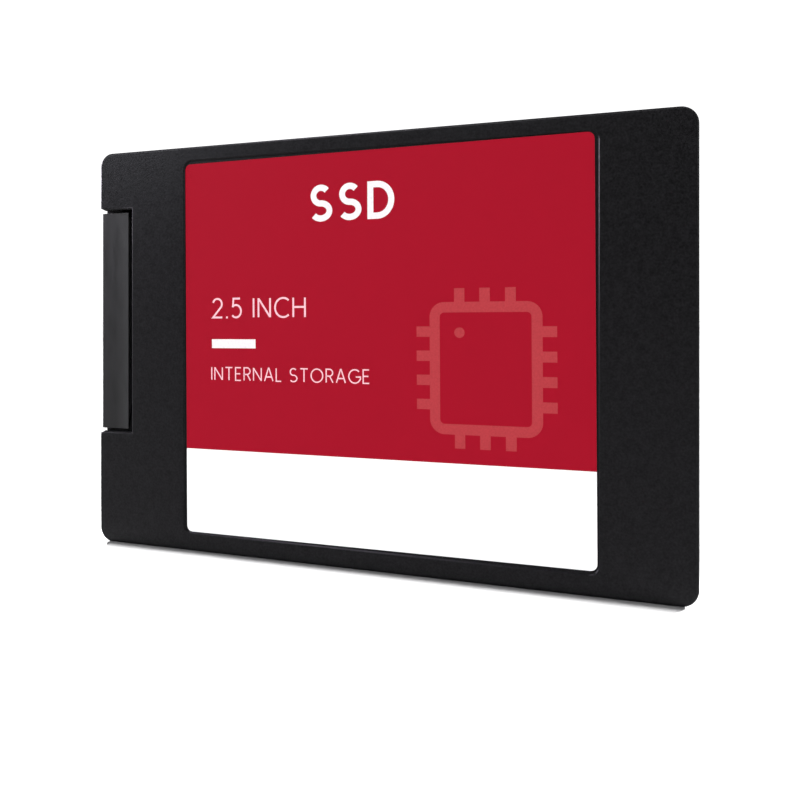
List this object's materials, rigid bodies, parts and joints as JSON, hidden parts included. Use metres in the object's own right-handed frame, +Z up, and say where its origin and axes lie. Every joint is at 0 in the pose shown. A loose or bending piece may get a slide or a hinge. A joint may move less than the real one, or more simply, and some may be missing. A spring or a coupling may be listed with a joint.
{
  "type": "solid state drive",
  "caption": "Slim 2.5-inch solid state drive: black two-part case, recessed red and white label, and a serial data and power plug in a notch at one end.",
  "frame": {"origin": "bottom centre of the drive as it stands on its long edge, at half its length and half its thickness", "axes": "+Z up along the 69.85 mm width, +X along the length away from the connector end, and -Y out of the label face, so +Y points out of the underside"},
  "size_m": [0.1002, 0.007, 0.0698],
  "materials": {
    "case_paint": "fine-textured matte black powder paint on die-cast aluminium",
    "front_print": "satin printed film, red above and white below, pale lettering",
    "rear_print": "satin printed film, pale grey",
    "board_mask": "green solder mask over glass-fibre laminate",
    "connector_plastic": "smooth satin dark grey moulded polymer",
    "contact_gold": "gold-plated copper alloy, bright",
    "plated_steel": "tin-plated sheet",
    "chip_mould": "matte black epoxy moulding",
    "ferrite": "matte dark grey ferrite",
    "tantalum_mould": "satin yellow-brown moulding",
    "thermal_pad": "soft matte grey-blue silicone",
    "screw_steel": "zinc-plated steel"
  },
  "bodies": {
    "root": {"base_tray": "case_paint", "top_cover": "case_paint", "front_label": "front_print", "rear_label": "rear_print", "circuit_board": "board_mask", "connector_housing": "connector_plastic", "signal_contact_1": "contact_gold", "signal_contact_2": "contact_gold", "signal_contact_3": "contact_gold", "signal_contact_4": "contact_gold", "signal_contact_5": "contact_gold", "signal_contact_6": "contact_gold", "signal_contact_7": "contact_gold", "power_contact_1": "contact_gold", "power_contact_2": "contact_gold", "power_contact_3": "contact_gold", "power_contact_4": "contact_gold", "power_contact_5": "contact_gold", "power_contact_6": "contact_gold", "power_contact_7": "contact_gold", "power_contact_8": "contact_gold", "power_contact_9": "contact_gold", "power_contact_10": "contact_gold", "power_contact_11": "contact_gold", "power_contact_12": "contact_gold", "power_contact_13": "contact_gold", "power_contact_14": "contact_gold", "power_contact_15": "contact_gold", "signal_end_hold_down": "plated_steel", "power_end_hold_down": "plated_steel", "controller_chip": "chip_mould", "working_memory_chip": "chip_mould", "flash_chip_1": "chip_mould", "flash_chip_2": "chip_mould", "flash_chip_3": "chip_mould", "flash_chip_4": "chip_mould", "startup_memory_chip": "chip_mould", "power_regulator_chip": "chip_mould", "power_inductor_1": "ferrite", "power_inductor_2": "ferrite", "tantalum_capacitor_1": "tantalum_mould", "tantalum_capacitor_2": "tantalum_mould", "tantalum_capacitor_3": "tantalum_mould", "tantalum_capacitor_4": "tantalum_mould", "crystal_oscillator": "plated_steel", "thermal_pad": "thermal_pad", "board_screw_1": "screw_steel", "board_screw_2": "screw_steel", "board_screw_3": "screw_steel"}
  },
  "joints": []
}
